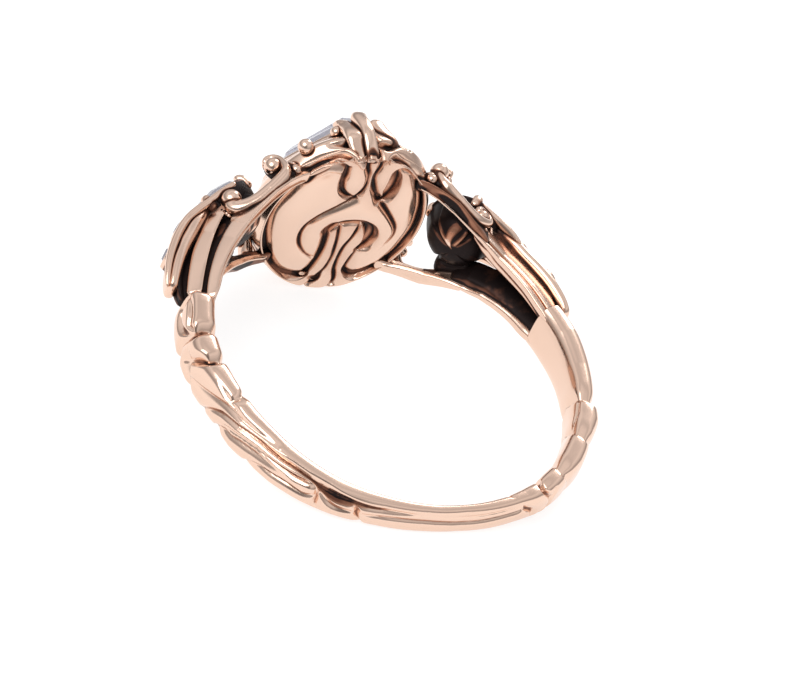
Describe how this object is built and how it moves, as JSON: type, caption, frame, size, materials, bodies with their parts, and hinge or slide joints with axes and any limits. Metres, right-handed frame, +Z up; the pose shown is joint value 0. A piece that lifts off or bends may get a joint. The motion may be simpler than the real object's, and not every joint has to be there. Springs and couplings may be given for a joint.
{
  "type": "three stone ring",
  "caption": "Finger ring with a lozenge step-cut stone on a carved closed-back head, round stones beside it, open scroll shoulders with small accents and a narrow leaf-carved shank.",
  "frame": {"origin": "centre of the bounding box in X and Y, on the ground the ring lies on", "axes": "+Y towards the head with its stones, X across the head, +Z up; the ring lies on its side, tilted about X so that the lip of the head and the back of the shank touch the ground"},
  "size_m": [0.02, 0.0216, 0.0094],
  "materials": {
    "rose_gold": "polished rose gold with dark recesses",
    "clear_stone": "polished facets"
  },
  "bodies": {
    "root": {"mount": "rose_gold", "centre_stone": "clear_stone", "left_stone": "clear_stone", "right_stone": "clear_stone", "left_upper_accent": "clear_stone", "left_lower_accent": "clear_stone", "right_upper_accent": "clear_stone", "right_lower_accent": "clear_stone"}
  },
  "joints": []
}
